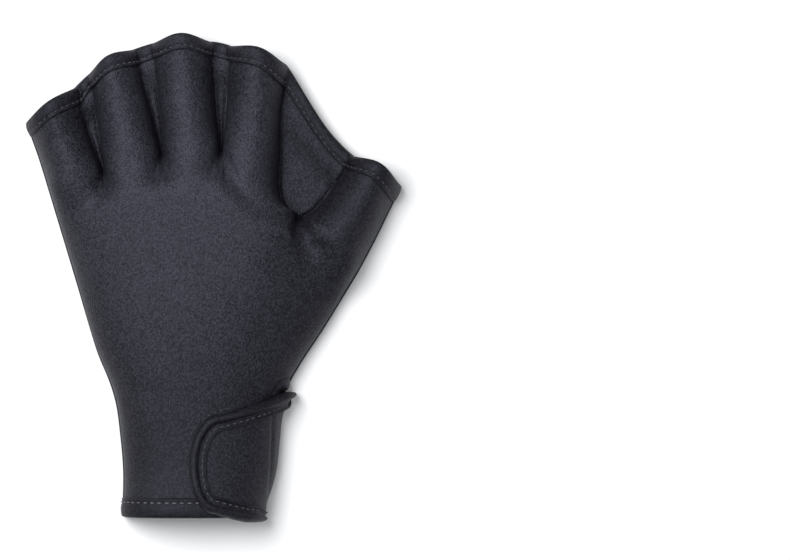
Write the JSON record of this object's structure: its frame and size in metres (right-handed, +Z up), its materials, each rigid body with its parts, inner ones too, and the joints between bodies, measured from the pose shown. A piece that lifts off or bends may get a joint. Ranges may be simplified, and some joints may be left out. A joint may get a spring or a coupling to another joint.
{
  "type": "webbed swim glove",
  "caption": "Fingerless webbed swim glove with a domed back, flat palm, bound edges and a wrapped wrist strap.",
  "frame": {"origin": "middle of the underside, on the surface that the glove lies on", "axes": "+Z up through the back of the glove, +Y towards the finger ends, +X towards the thumb"},
  "size_m": [0.1698, 0.2206, 0.0331],
  "materials": {
    "neoprene": "matt knit face",
    "tape": "soft folded tape",
    "hook_tape": "hook and loop pile"
  },
  "bodies": {
    "root": {"palm_panel": "neoprene", "back_panel": "neoprene", "palm_edge_binding": "tape", "back_edge_binding": "tape", "cuff_hem_palm": "tape", "cuff_hem_back": "tape", "wrist_strap": "neoprene", "strap_binding": "tape", "hook_patch": "hook_tape"}
  },
  "joints": []
}
